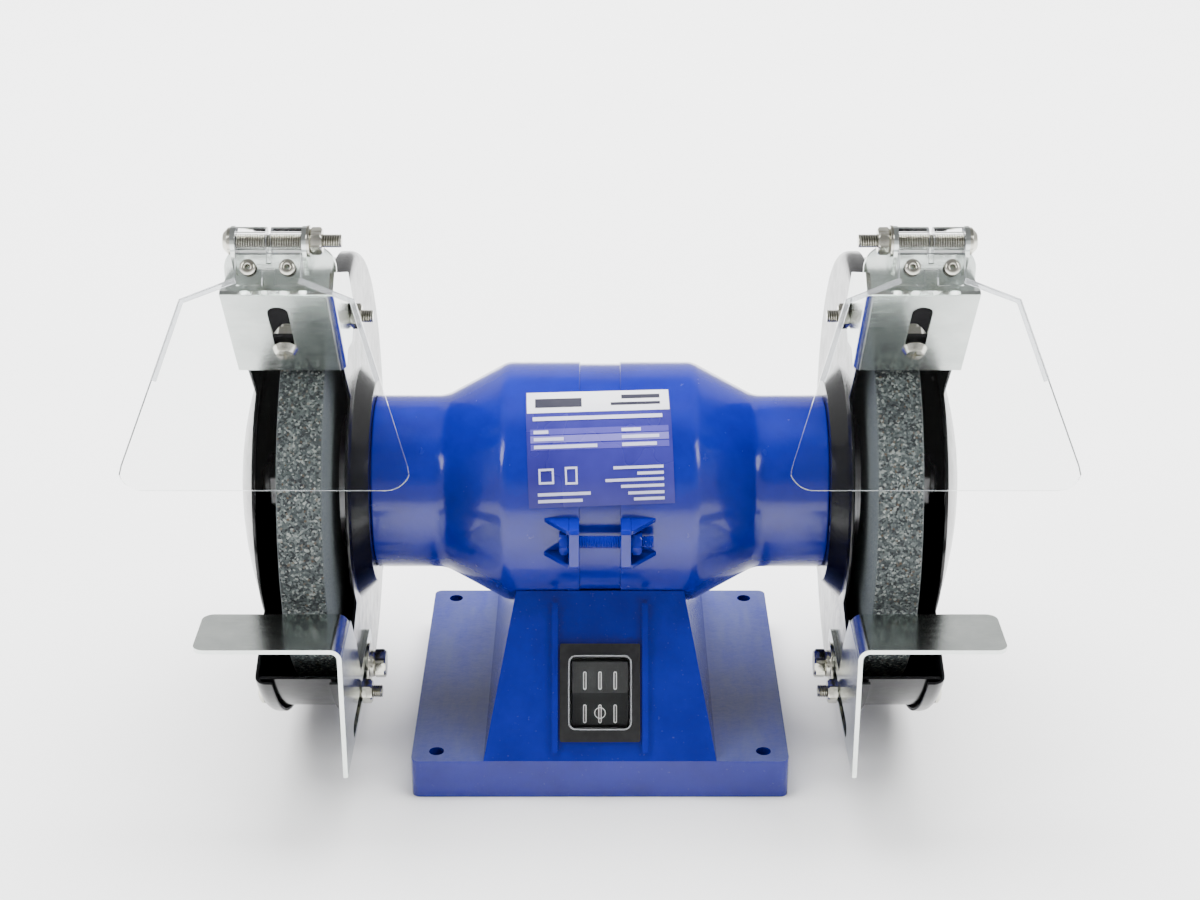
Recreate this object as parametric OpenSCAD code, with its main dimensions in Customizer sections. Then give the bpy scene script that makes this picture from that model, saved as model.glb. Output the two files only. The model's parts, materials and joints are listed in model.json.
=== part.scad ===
// Bench grinder with two 150 mm wheels on one motor shaft.
// X runs along the shaft, Y from the front to the back, Z up.
// The origin is the centre of the base's underside, on the bench.
// Every part beside the motor is drawn on the right (+X) and mirrored to the left.

/* [Base] */
// Width of the base plate
base_w = 139.2; // [138:0.2:141]
// Depth of the base plate
base_d = 135; // [134:1:137]
// Height of the base plate
base_t = 15.3; // [14:0.1:17]
// Wall of the moulded housing
wall = 2.6; // [2:0.1:3]
// Spacing of the mounting holes along both sides
hole_d = 121; // [119:1:121]
// Radius of the mounting holes
hole_r = 2.75; // [2.5:0.05:3.25]
/* [Motor] */
// Height of the shaft above the bench
shaft_h = 97.7; // [97.5:0.1:98.5]
// Radius of the motor's middle
motor_r = 45.2; // [44.8:0.1:45.6]
// Radius of the tubes beside it
tube_r = 32.6; // [32:0.1:33]
// Half the width of the bare stator band
band_x = 7.4; // [7:0.1:8]
// Distance from the centre to where the motor's middle ends
mid_x = 34.8; // [34:0.1:36]
// Distance from the centre to where the cone ends
cone_x = 58.2; // [57:0.1:59]
// Distance from the centre to the end of the tube
tube_x = 84; // [83.6:0.1:84]
/* [Wheels] */
// Radius of a grinding wheel
wheel_r = 75; // [74:0.5:75]
// Width of a grinding wheel
wheel_w = 16; // [15:0.5:16]
// Distance from the centre to the wheel's inner face
wheel_x = 96.2; // [96.2:0.1:96.4]
// Radius of the shaft in the wheel's bore
arbor_r = 6.35; // [6.3:0.05:6.35]
/* [Guards] */
// Radius of the guards' discs
guard_r = 87; // [86.5:0.1:87.5]
// Thickness of the guards' sheet
sheet = 1.2; // [1:0.1:1.2]
// Distance from the centre to the guard's inner disc
guard_x = 90; // [90:0.1:90.2]
// Distance from the centre to the inside of the outer cover
cover_x = 122.8; // [122.6:0.1:123.4]
// Height of the dome on the outer cover
dome_h = 10; // [8:0.5:11]
/* [Rest and shield] */
// Height of the tool rest's top
rest_z = 80.5; // [80:0.5:82]
// Depth of the tool rest's plate
rest_d = 26; // [24:1:28]
// Thickness of the tool rests
rest_t = 1.6; // [1.6:0.1:2]
// Thickness of the shields' brackets
plate_t = 1.5; // [1.2:0.1:1.5]
// Half the width of an eye shield near its bottom
shield_w = 46.5; // [44:0.5:48]
// Length of the eye shield below its hinge
shield_l = 83; // [80:1:85]
// Tilt of the eye shield from the vertical
shield_tilt = 30.3; // [28:0.1:32]

/* [Hidden] */
$fn = 64;
gap = 0.1;                          // clearance between parts that slide or nest
eps = 0.01;
// Base and pedestal
foot_x = 42.85;                     // half width of the pedestal at the base plate
neck_x = 31.1;                      // half width of the pedestal under the motor
foot_y = base_d / 2;                // the pedestal's slopes start at the base plate's edges
neck_y = 35.5;
neck_z = 69;
slope = atan2(neck_z - base_t, foot_y - neck_y);         // of the front face, above the horizontal
rib_x = 16.6;
plate_under = 1.6;                  // the bottom cover's thickness
plate_up = 1.5;                     // and its height above the bench
boss_r = 6.3;
// Switch, on the front slope
switch_w = 29.5;
switch_h = 36;
switch_s = 25;                      // distance of its centre up the slope
bezel_t = 2.3;
well_w = 21.4;
well_h = 25.4;
rocker_w = 20.8;
rocker_pivot = -1.5;                // below the slope's face
boot_w = 23.4;
boot_h = 27.4;
boot_t = 4.5;
gland_r = 5.2;
gland_s = 20;                       // distance of the cable gland up the back slope
// Motor
shell_t = 3;
lug_z = -1.9;                       // centre of the clamping lugs, from the shaft
lug_h = 15.4;
lug_y = 56;                         // reach of the lugs from the shaft
lug_t = 3.8;
fin_x = 20.5;                       // where a lug's fins meet the shell
bolt_y = 50.4;                      // the clamping bolts' distance from the shaft
bolt_z = shaft_h - 1.1;
bolt_r = 2.4;
stack_x = 20;                       // half length of the stator stack
stack_bore = 24;
bearing_x = 68.5;
bearing_w = 11;
bearing_r = 17.5;
ball_r = 2;
ball_at = 12.5;                     // radius of the circle that the balls run on
spindle_r = 7.5;
// Wheel mounting
flange_r = 25;
flange_w = 4.1;
nut_w = 8;
shaft_end = 127;
// Guards
hub_in = 50;                        // radius left round the shaft on the inner disc's mouth
hub_out = 54;                       // and on the cover's
collar_r = [38, 44];                // cone that joins the inner disc to the motor's tube
band_r = 83.4;                      // inside of the band between the discs
corner = 4;                         // rounding of the discs' rims
lip_in = 97;                        // where the rims of the inner disc and the cover end
lip_out = 117.5;
dome_r = 52;
tab_r = 97;                         // top of the tab that the shield's bracket is screwed to
screw_r = 80.5;                     // the cover screws' distance from the shaft
screw_at = [71.2, 190, 309.2];      // and their angles, from the front over the top
m5 = 2.4;
mount_screw_r = 25;                 // screws that hold the guard to the tube
// Tool rest
rest_in = guard_x - gap - rest_t;   // the leg's face towards the motor
rest_out = 139.5;
rest_gap = 2;                       // from the wheel's face to the rest's edge
rest_back = -sqrt(pow(wheel_r, 2) - pow(shaft_h - rest_z, 2)) - rest_gap;
leg_low = 29.5;
arm_z = 34.7;                       // height of the slot
slot_r = 3.2;
slot_y = [-76.5, -18.2];            // the slot's end centres
rest_bolt_y = -29;
m6 = 2.95;
// Shield bracket: its front lies on a radius of the wheel
lean = 35.7;                        // of that radius, from the vertical
front_r = [78, 124.5];              // lower and upper edge of the front
front_x = 126;
flap_x = guard_x - gap - plate_t;   // the side flap's face towards the motor
slide_x = 108;                      // the bracket screw's place
slide_r = 91.5;
slide_slot = [92.5, 113.5];         // the front slot's end centres
tab_y = -60;                        // the upright tab's front
tab_z = 211.5;
shelf_z = shaft_h + front_r[1] * cos(lean) + plate_t * sin(lean) - plate_t;
// Hinge of the shield
hinge_at = [0, -67, 215.6];
hinge_x = 109;
ear_x = [98, 120];
knuckle_r = 4.7;
knuckle_gap = 1.6;
pin_r = 2.4;
shield_t = 2.5;
shield_off = 1.75;                  // the plate lies this far in front of the hinge's axis

// ---- Placing ----

// Draws a side outline, [y, z from the shaft], as a plate that starts at x and is t thick.
module side_plate(x, t) translate([x, 0, shaft_h]) rotate([90, 0, 90]) linear_extrude(t) children();

// Turns an outline, [radius, x], round the shaft's axis.
module turned() translate([0, 0, shaft_h]) rotate([0, 90, 0]) rotate_extrude($fn = 96) children();

// A rod along X from x0 to x1 at y and z.
module rod(r, x0, x1, y, z, fn = 48)
    translate([x0, y, z]) rotate([0, 90, 0]) cylinder(r = r, h = x1 - x0, $fn = fn);

module left() mirror([1, 0, 0]) children();

// Both sides, for fasteners that are alike.
module pair() {
    children();
    left() children();
}

// The front slope's frame: x across, y up the slope, z out of it.
module on_slope() translate([0, -foot_y, base_t]) rotate([slope, 0, 0]) children();

// The back slope's frame, likewise.
module on_back_slope() rotate([0, 0, 180]) on_slope() children();

// The shield bracket's frame: x as the row's, y out along its radius, z out of its front.
module on_radius() translate([0, 0, shaft_h]) rotate([90 + lean, 0, 0]) children();

// The shield's frame: origin on the hinge, y down the shield, z behind it.
module on_shield() translate(hinge_at) rotate([-90 - shield_tilt, 0, 0]) children();

module rounded(w, d, r) {
    square([w - 2 * r, d], center = true);
    square([w, d - 2 * r], center = true);
    for (i = [-1, 1], j = [-1, 1]) translate([i * (w / 2 - r), j * (d / 2 - r)]) circle(r, $fn = 32);
}

// A slot between two centres on a line.
module slot(a, b, r) {
    translate(a) circle(r, $fn = 32);
    translate(b) circle(r, $fn = 32);
    polygon(let (d = (b - a) / norm(b - a), n = [-d[1], d[0]] * r) [a + n, b + n, b - n, a - n]);
}

// ---- Base ----

module pedestal_solid(inset) {
    intersection() {
        rotate([90, 0, 90]) translate([0, 0, -foot_x]) linear_extrude(2 * foot_x) polygon([
            [-foot_y + inset, 0], [-foot_y + inset, base_t - eps], [-neck_y + inset, neck_z],
            [neck_y - inset, neck_z], [foot_y - inset, base_t - eps], [foot_y - inset, 0]]);
        rotate([90, 0, 0]) translate([0, 0, -foot_y]) linear_extrude(2 * foot_y) polygon([
            [-foot_x + inset, 0], [-foot_x + inset, base_t], [-neck_x + inset, neck_z],
            [neck_x - inset, neck_z], [foot_x - inset, base_t], [foot_x - inset, 0]]);
    }
}

module base_pedestal() color("mediumblue") difference() {
    union() {
        difference() {
            union() {
                linear_extrude(base_t) rounded(base_w, base_d, 3);
                pedestal_solid(0);
                for (i = [-1, 1]) on_slope() translate([i * rib_x - 1.1, 3, -0.5]) cube([2.2, 55, 3]);
            }
            translate([0, 0, -eps]) linear_extrude(base_t - wall)
                rounded(base_w - 2 * wall, base_d - 2 * wall, 2);
            intersection() {
                translate([0, 0, -eps]) pedestal_solid(wall);
                translate([-foot_x, -foot_y, -1]) cube([2 * foot_x, base_d, neck_z]);
            }
        }
        for (i = [-1, 1], j = [-1, 1]) translate([i * hole_d / 2, j * hole_d / 2, 0])
            cylinder(r = boss_r, h = base_t - 1);
        // The saddle that the motor lies in
        intersection() {
            pedestal_solid(0.2);
            translate([-neck_x, 0, shaft_h]) rotate([0, 90, 0])
                cylinder(r = motor_r + 3, h = 2 * neck_x);
        }
    }
    rod(motor_r + gap, -foot_x, foot_x, 0, shaft_h, 96);
    for (i = [-1, 1], j = [-1, 1]) translate([i * hole_d / 2, j * hole_d / 2, -1])
        cylinder(r = hole_r, h = base_t + 2);
    for (i = [-1, 1]) translate([i * 24, 0, 40]) cylinder(r = 2.2, h = 20);
    on_slope() translate([0, switch_s, 0]) cube([26.6, 31.6, 12], center = true);
    on_back_slope() translate([0, gland_s, -6]) cylinder(r = gland_r, h = 12);
}

module bottom_cover() color("dimgray") translate([0, 0, plate_up]) difference() {
    linear_extrude(plate_under) rounded(base_w - 2 * wall - 1, base_d - 2 * wall - 1, 2);
    for (i = [-1, 1], j = [-1, 1]) translate([i * (hole_d / 2 + 1), j * (hole_d / 2 + 1), 1])
        cube([16, 16, 4], center = true);
    for (i = [-1, 1], j = [-1, 1]) translate([i * 48, j * 34, -1]) cylinder(r = 1.7, h = 5);
}

module bottom_cover_screws() color("silver") for (i = [-1, 1], j = [-1, 1])
    translate([i * 48, j * 34, plate_up - 1.2]) {
        cylinder(r = 3, h = 1.2);
        cylinder(r = 1.5, h = 11);
    }

module rubber_feet() color("black") for (i = [-1, 1], j = [-1, 1])
    translate([i * 48, j * 50, 0]) cylinder(r = 8, h = plate_up);

module saddle_screws() color("silver") for (i = [-1, 1]) translate([i * 24, 0, 46.4]) {
    cylinder(r = 4, h = 3);
    cylinder(r = 2.1, h = 8.6);
}

module cable_gland() color("black") on_back_slope() translate([0, gland_s, 0]) difference() {
    union() {
        translate([0, 0, -5]) cylinder(r = gland_r - 0.1, h = 5.5);
        translate([0, 0, eps]) cylinder(r = 7.5, h = 3);
        translate([0, 0, 3]) cylinder(r1 = 6, r2 = 4.8, h = 12);
        translate([0, 0, -wall - 2.6]) cylinder(r = 6.6, h = 1.8);
    }
    translate([0, 0, -8]) cylinder(r = 3.3, h = 30);
}

module run_capacitor() color("gainsboro") translate([18, 12, 4]) {
    cylinder(r = 13, h = 30);
    for (i = [-1, 1]) translate([i * 5 - 2.4, -0.4, 30]) cube([4.8, 0.8, 6]);
}

module terminal_block() color("ivory") difference() {
    translate([-34, 4, 3.4]) cube([18, 34, 11]);
    for (i = [0:2]) translate([-25, 10 + i * 11, 9]) cylinder(r = 3, h = 10);
}

// ---- Switch ----

module switch_housing() color("#242424") on_slope() translate([0, switch_s, 0]) difference() {
    union() {
        linear_extrude(bezel_t) rounded(switch_w, switch_h, 0.8);
        translate([0, 0, -9]) cube([26.2, 31.2, 18.1], center = true);
    }
    translate([0, 0, -14]) linear_extrude(20) square([well_w, well_h], center = true);
    rotate([0, 90, 0]) translate([-rocker_pivot, 0, -13.4]) cylinder(r = 1.1, h = 26.8, $fn = 24);
}

// The rocker at rest has its lower half pressed in: off.
module switch_rocker() color("#1a1a1a") on_slope() translate([0, switch_s, rocker_pivot]) {
    rotate([90, 0, 90]) translate([0, 0, -rocker_w / 2]) linear_extrude(rocker_w) polygon([
        [-11, -5], [-11.6, 1.2], [0, 1.2], [11.3, 4], [11, -5]]);
    rotate([0, 90, 0]) translate([0, 0, -13.1]) cylinder(r = 1, h = 26.2, $fn = 24);
}

// A clear rubber boot over the rocker.
module switch_boot() color("lightgray", 0.4) on_slope() translate([0, switch_s, bezel_t]) difference() {
    linear_extrude(boot_t) rounded(boot_w, boot_h, 3);
    translate([0, 0, -1]) linear_extrude(boot_t) rounded(boot_w - 2, boot_h - 2, 2);
}

// ---- Motor ----

module shell_outline() polygon([
    [motor_r, band_x], [motor_r, mid_x], [tube_r, cone_x], [tube_r, tube_x],
    [bearing_r + 3, tube_x], [bearing_r + 3, tube_x - 3], [tube_r - shell_t, tube_x - 3],
    [tube_r - shell_t, bearing_x + bearing_w], [bearing_r - 3, bearing_x + bearing_w],
    [bearing_r - 3, bearing_x + bearing_w - 1], [bearing_r + gap / 4, bearing_x + bearing_w - 1],
    [bearing_r + gap / 4, bearing_x - 1.2], [tube_r - shell_t, bearing_x - 1.2],
    [tube_r - shell_t, cone_x + 1], [motor_r - shell_t, mid_x + 1], [motor_r - shell_t, band_x]]);

// One lug: an upright plate against the band, and two level fins that brace it.
module lug() {
    translate([band_x, -lug_y, shaft_h + lug_z - lug_h / 2]) cube([lug_t, lug_y - motor_r + 2, lug_h]);
    for (z = [0, lug_h - 1.8]) translate([0, 0, shaft_h + lug_z - lug_h / 2 + z])
        linear_extrude(1.8) polygon([[band_x + lug_t - eps, -lug_y + 0.4],
            [fin_x, -motor_r + 0.6], [band_x + lug_t - eps, -motor_r + 2]]);
}

module motor_shell() color("mediumblue") difference() {
    union() {
        turned() shell_outline();
        lug();
        mirror([0, 1, 0]) lug();
    }
    for (y = [-bolt_y, bolt_y]) rod(bolt_r + 0.2, 0, 20, y, bolt_z);
    translate([24, 0, 40]) cylinder(r = 2.15, h = 15.2);
    for (a = [30, 150, 270]) rod(1.8, tube_x - 4, tube_x + 1, -mount_screw_r * cos(a),
        shaft_h + mount_screw_r * sin(a));
    // Cooling slots underneath the cone, out of the dust
    for (a = [-20, 0, 20]) translate([46, 0, shaft_h]) rotate([a, 0, 0])
        translate([-7, -1.6, -motor_r]) cube([14, 3.2, 14]);
}

module clamp_bolts() color("silver") for (y = [-bolt_y, bolt_y]) {
    rod(bolt_r, -band_x - lug_t - 1, 17, y, bolt_z);
    rod(4.1, -band_x - lug_t - 3.2, -band_x - lug_t, y, bolt_z);
}

module clamp_nuts() color("silver") for (y = [-bolt_y, bolt_y]) difference() {
    rod(4.4, band_x + lug_t, band_x + lug_t + 3.6, y, bolt_z, 6);
    rod(bolt_r + 0.03, 0, 20, y, bolt_z);
}

module stator_stack() color("slategray") turned() polygon([
    [stack_bore, -stack_x], [motor_r - shell_t - 0.05, -stack_x], [motor_r - shell_t - 0.05, -band_x],
    [motor_r - 0.7, -band_x], [motor_r - 0.7, band_x], [motor_r - shell_t - 0.05, band_x],
    [motor_r - shell_t - 0.05, stack_x], [stack_bore, stack_x]]);

module stator_winding() color("peru") pair() turned() {
    translate([33, stack_x + 5]) circle(5, $fn = 48);
    translate([28, stack_x + eps]) square([10, 5]);
}

module bearing_outer_rings() color("gainsboro") pair() turned() polygon([
    [ball_at + ball_r + 0.05, bearing_x - 1], [bearing_r, bearing_x - 1],
    [bearing_r, bearing_x + bearing_w - 1 - gap],
    [ball_at + ball_r + 0.05, bearing_x + bearing_w - 1 - gap]]);

module bearing_inner_rings() color("gainsboro") pair() turned() polygon([
    [spindle_r, bearing_x - 1], [ball_at - ball_r, bearing_x - 1],
    [ball_at - ball_r, bearing_x + bearing_w - 1 - gap], [spindle_r, bearing_x + bearing_w - 1 - gap]]);

module bearing_balls() color("silver") pair() for (a = [0:45:315])
    translate([bearing_x + bearing_w / 2 - 1, ball_at * cos(a), shaft_h + ball_at * sin(a)])
        sphere(r = ball_r, $fn = 24);

module rating_label() color("slateblue") translate([-26.5, 0, shaft_h]) rotate([0, 90, 0])
    rotate_extrude(angle = 59, start = 198, $fn = 96) translate([motor_r, 0]) square([0.3, 53]);

// ---- Rotor ----

module spindle() color("silver") turned() polygon([
    [0, -shaft_end], [arbor_r - 0.8, -shaft_end], [arbor_r, -shaft_end + 0.8],
    [arbor_r, -wheel_x + flange_w], [spindle_r, -wheel_x + flange_w],
    [spindle_r, wheel_x - flange_w], [arbor_r, wheel_x - flange_w], [arbor_r, shaft_end - 0.8],
    [arbor_r - 0.8, shaft_end], [0, shaft_end]]);

module rotor_core() color("darkgray") turned() polygon([
    [spindle_r, -stack_x - 4], [stack_bore - 3, -stack_x - 4], [stack_bore - 3, -stack_x],
    [stack_bore - 0.5, -stack_x], [stack_bore - 0.5, stack_x], [stack_bore - 3, stack_x],
    [stack_bore - 3, stack_x + 4], [spindle_r, stack_x + 4]]);

module cooling_fan() color("ivory") {
    turned() polygon([[spindle_r, 38], [12, 38], [12, 48], [26, 48], [26, 50], [spindle_r, 50]]);
    for (a = [0:45:315]) translate([0, 0, shaft_h]) rotate([a, 0, 0])
        translate([39, 11, -0.8]) cube([9.5, 15, 1.6]);
}

module wheel() color("slategray") turned() polygon([
    [arbor_r + 0.1, wheel_x], [wheel_r - 0.6, wheel_x], [wheel_r, wheel_x + 0.6],
    [wheel_r, wheel_x + wheel_w - 0.6], [wheel_r - 0.6, wheel_x + wheel_w],
    [arbor_r + 0.1, wheel_x + wheel_w]]);

// Dished washers: only the rim touches the wheel.
module inner_flanges() color("silver") pair() turned() polygon([
    [arbor_r + 0.05, wheel_x - flange_w], [12, wheel_x - flange_w], [flange_r, wheel_x - 2],
    [flange_r, wheel_x], [18, wheel_x], [17, wheel_x - 1], [arbor_r + 0.05, wheel_x - 1]]);

module outer_flanges() color("silver") pair() turned() let (x = wheel_x + wheel_w) polygon([
    [arbor_r + 0.05, x + flange_w], [12, x + flange_w], [flange_r, x + 2],
    [flange_r, x], [18, x], [17, x + 1], [arbor_r + 0.05, x + 1]]);

module spindle_nuts() color("silver") pair() let (x = wheel_x + wheel_w + flange_w) difference() {
    rod(10.9, x, x + nut_w, 0, shaft_h, 6);
    rod(arbor_r + 0.03, x - 1, x + nut_w + 1, 0, shaft_h);
}

// ---- Guards ----

// The mouth cut out of a disc: open at the front, closed round the shaft.
module mouth(hub) difference() {
    polygon([[-15.7, 33], [-98.2, 130.4], [-150, 130.4], [-150, -78.3], [-28, -27.7]]);
    circle(hub, $fn = 96);
}

module screw_holes(x0, x1) for (a = screw_at)
    rod(m5 + 0.15, x0, x1, -screw_r * cos(a), shaft_h + screw_r * sin(a), 32);

// Corner points of a rim, from angle a0 to a1, round a centre.
function arc(c, r, a0, a1) = [for (i = [0:6]) let (a = a0 + (a1 - a0) * i / 6) c + r * [cos(a), sin(a)]];

module inner_guard() color("#161616") difference() {
    turned() polygon(concat(
        [[22, tube_x], [collar_r[0], tube_x], [collar_r[1], guard_x]],
        arc([guard_r - corner, guard_x + corner], corner, -90, 0),
        [[guard_r, lip_in], [guard_r - sheet, lip_in]],
        arc([guard_r - corner, guard_x + corner], corner - sheet, 0, -90),
        [[collar_r[1] - 0.5, guard_x + sheet], [collar_r[0] - 0.5, tube_x + sheet], [22, tube_x + sheet]]));
    side_plate(guard_x - 0.5, 30) mouth(hub_in);
    screw_holes(guard_x - 1, guard_x + 2);
    rod(m6 + 0.15, guard_x - 1, guard_x + 2, rest_bolt_y, arm_z);
    for (a = [30, 150, 270]) rod(1.9, tube_x - 1, tube_x + 3, -mount_screw_r * cos(a),
        shaft_h + mount_screw_r * sin(a));
}

// The band between the discs ends in an upturned tab for the bracket's screw.
module guard_band() color("#161616") {
    difference() {
        turned() translate([band_r, guard_x + sheet + 0.5]) square([sheet, cover_x - guard_x - sheet - 1]);
        side_plate(guard_x, 40) mouth(hub_in);
    }
    on_radius() difference() {
        translate([slide_x - 8, band_r, -plate_t - gap - sheet]) cube([16, tab_r - band_r, sheet]);
        translate([slide_x, slide_r, -9]) cylinder(r = m5 + 0.15, h = 12);
    }
}

// Points of the cover's dome, from its edge to its crown.
function dome(x) = let (r = (dome_r * dome_r + dome_h * dome_h) / (2 * dome_h), n = 12)
    [for (i = [0:n]) let (s = dome_r * (1 - i / n)) [s, x + dome_h + sqrt(r * r - s * s) - r]];

module guard_cover() color("#161616") difference() {
    turned() polygon(concat(
        [[guard_r - sheet, lip_out], [guard_r, lip_out]],
        arc([guard_r - corner, cover_x + sheet - corner], corner, 0, 90),
        dome(cover_x + sheet),
        [for (i = [12:-1:0]) dome(cover_x)[i]],
        arc([guard_r - corner, cover_x + sheet - corner], corner - sheet, 90, 0)));
    side_plate(lip_out - 1, 25) mouth(hub_out);
    screw_holes(cover_x - 1, cover_x + 3);
}

module cover_screws() color("silver") pair() for (a = screw_at) let (
        y = -screw_r * cos(a), z = shaft_h + screw_r * sin(a)) {
    rod(m5, a == screw_at[1] ? 84.5 : 80.5, cover_x + sheet + 0.5, y, z, 32);
    rod(4.5, cover_x + sheet, cover_x + sheet + 2.4, y, z, 32);
}

// Nuts on the motor side, over the disc, the rest's leg or the bracket's flap.
module cover_nuts() color("silver") pair() for (a = screw_at) let (
        y = -screw_r * cos(a), z = shaft_h + screw_r * sin(a),
        x = a == screw_at[1] ? guard_x : (a == screw_at[0] ? flap_x : rest_in) - gap) difference() {
    rod(4.6, x - 4, x, y, z, 6);
    rod(m5 + 0.03, x - 6, x + 2, y, z, 32);
}

module guard_mounting_screws() color("silver") pair() for (a = [30, 150, 270]) let (
        y = -mount_screw_r * cos(a), z = shaft_h + mount_screw_r * sin(a)) {
    rod(1.7, tube_x - 3.5, tube_x + sheet + 0.5, y, z, 32);
    rod(3.6, tube_x + sheet, tube_x + sheet + 2.2, y, z, 32);
}

// ---- Tool rest ----

module tool_rest() color("lightsteelblue") {
    bend = 4;
    // The plate, with its outer corners rounded
    translate([0, 0, rest_z - rest_t]) linear_extrude(rest_t) difference() {
        translate([rest_in + bend, rest_back - rest_d]) square([rest_out - rest_in - bend, rest_d]);
        for (y = [rest_back - rest_d, rest_back]) let (s = y == rest_back ? -1 : 1)
            translate([rest_out, y]) difference() {
                square(8, center = true);
                translate([-4, 4 * s]) circle(4, $fn = 32);
            }
    }
    // The bend
    translate([rest_in + bend, rest_back, rest_z - bend]) rotate([90, 0, 0])
        rotate_extrude(angle = 90, start = 90) translate([bend - rest_t, 0]) square([rest_t, rest_d]);
    // The leg and its slotted arm
    side_plate(rest_in, rest_t) translate([0, -shaft_h]) difference() {
        union() {
            polygon([[rest_back - rest_d, rest_z - bend], [rest_back + 3, rest_z - bend],
                [-60, 62], [-50, 43], [-18.75, 43], [-18.75, leg_low], [rest_back - rest_d, leg_low]]);
            translate([-18.75, (43 + leg_low) / 2]) circle((43 - leg_low) / 2);
        }
        slot([slot_y[0], arm_z], [slot_y[1], arm_z], slot_r);
    }
}

module rest_bolts() color("silver") pair() {
    rod(m6, rest_in - 3, 95, rest_bolt_y, arm_z, 48);
    rod(5.8, rest_in - 7.2, rest_in - 2.7, rest_bolt_y, arm_z, 6);
}

module rest_washers() color("gainsboro") pair() difference() {
    union() {
        rod(8, rest_in - 1.3, rest_in - gap, rest_bolt_y, arm_z);
        rod(5.2, rest_in - 2.7, rest_in - 1.3, rest_bolt_y, arm_z);
    }
    rod(m6 + 0.1, rest_in - 4, rest_in + 1, rest_bolt_y, arm_z);
}

module rest_nuts() color("silver") pair() difference() {
    rod(5.6, guard_x + sheet, guard_x + sheet + 3.4, rest_bolt_y, arm_z, 6);
    rod(m6 + 0.03, guard_x, 99, rest_bolt_y, arm_z);
}

// ---- Shield bracket ----

module shield_bracket() color("lightsteelblue") {
    bend = 2.6;
    length = front_r[1] - front_r[0];
    on_radius() {
        // The slotted front, which also stops the sparks
        translate([0, 0, -plate_t]) linear_extrude(plate_t) difference() {
            translate([flap_x + bend, front_r[0]]) square([front_x - flap_x - bend, length]);
            slot([slide_x, slide_slot[0]], [slide_x, slide_slot[1]], 3.5);
        }
        translate([flap_x + bend, front_r[1], -bend]) rotate([90, 0, 0])
            rotate_extrude(angle = 90, start = 90) translate([bend - plate_t, 0])
                square([plate_t, length]);
        // The side flap over the upper cover screw
        translate([flap_x, 0, 0]) rotate([90, 0, 90]) linear_extrude(plate_t) difference() {
            polygon([[front_r[0], -bend], [front_r[1], -bend], [front_r[1], -9], [92, -32],
                [72, -32], [69, -29], [69, -18], [front_r[0], -9]]);
            slot([77, -23.4], [84, -23.4], m5 + 0.4);
        }
    }
    // Shelf and upright tab
    side_plate(flap_x, front_x - flap_x) translate([0, -shaft_h]) polygon([
        [-front_r[1] * sin(lean) + 0.4, shelf_z],
        [-front_r[1] * sin(lean), shaft_h + front_r[1] * cos(lean)],
        [-front_r[1] * sin(lean) + plate_t * cos(lean), shelf_z + plate_t],
        [tab_y + plate_t, shelf_z + plate_t], [tab_y + plate_t, shelf_z]]);
    translate([0, tab_y + plate_t, 0]) rotate([90, 0, 0]) linear_extrude(plate_t) {
        translate([flap_x, shelf_z]) square([front_x - flap_x, tab_z - 8 - shelf_z]);
        translate([flap_x + 8, shelf_z]) square([front_x - flap_x - 16, tab_z - shelf_z]);
        for (x = [flap_x + 8, front_x - 8]) translate([x, tab_z - 8]) circle(8);
    }
    // Ears that hold the hinge bolt
    for (x = [ear_x[0] - plate_t, ear_x[1]]) difference() {
        side_plate(x, plate_t) translate([0, -shaft_h]) {
            translate([hinge_at[1], hinge_at[2]]) circle(5);
            polygon([[tab_y + 0.5, 203], [tab_y + 0.5, tab_z], [-64, hinge_at[2] + 4],
                [-71.6, hinge_at[2]], [-71.4, 211.5], [-66, 203]]);
        }
        rod(pin_r + 0.15, 80, 130, hinge_at[1], hinge_at[2]);
    }
}

module bracket_screws() color("silver") pair() on_radius() translate([slide_x, slide_r, 0]) {
    difference() {
        translate([0, 0, gap]) cylinder(r1 = 4.4, r2 = 3, h = 2.4);
        for (a = [0, 90]) rotate([0, 0, a]) translate([-2, -0.4, 1.4]) cube([4, 0.8, 2]);
    }
    translate([0, 0, -9]) cylinder(r = m5, h = 9.5);
}

module bracket_nuts() color("silver") pair() on_radius()
    translate([slide_x, slide_r, -plate_t - gap - sheet - 4]) difference() {
        cylinder(r = 4.6, h = 4, $fn = 6);
        translate([0, 0, -1]) cylinder(r = m5 + 0.03, h = 6);
    }

// ---- Eye shield and its hinge ----

// The clear block that turns between the ears.
module hinge_block() color("white", 0.4) difference() {
    union() {
        rod(knuckle_r, ear_x[0] + gap, ear_x[1] - gap, hinge_at[1], hinge_at[2]);
        on_shield() translate([ear_x[0] + gap, 0, -shield_off])
            cube([ear_x[1] - ear_x[0] - 2 * gap, 15, 2.6]);
    }
    rod(knuckle_r + 1, hinge_x - knuckle_gap / 2, hinge_x + knuckle_gap / 2, hinge_at[1], hinge_at[2]);
    rod(pin_r + 0.1, 80, 130, hinge_at[1], hinge_at[2]);
    on_shield() translate([hinge_x, 0, -5]) {
        translate([-knuckle_gap / 2, 4, 0]) cube([knuckle_gap, 3.8, 12]);
        translate([-2.2, 9.8, 0]) cube([4.4, 6, 12]);
        for (x = [-6.5, 6.5]) translate([x, 9.5, 0]) cylinder(r = 1.5, h = 12);
    }
}

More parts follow.
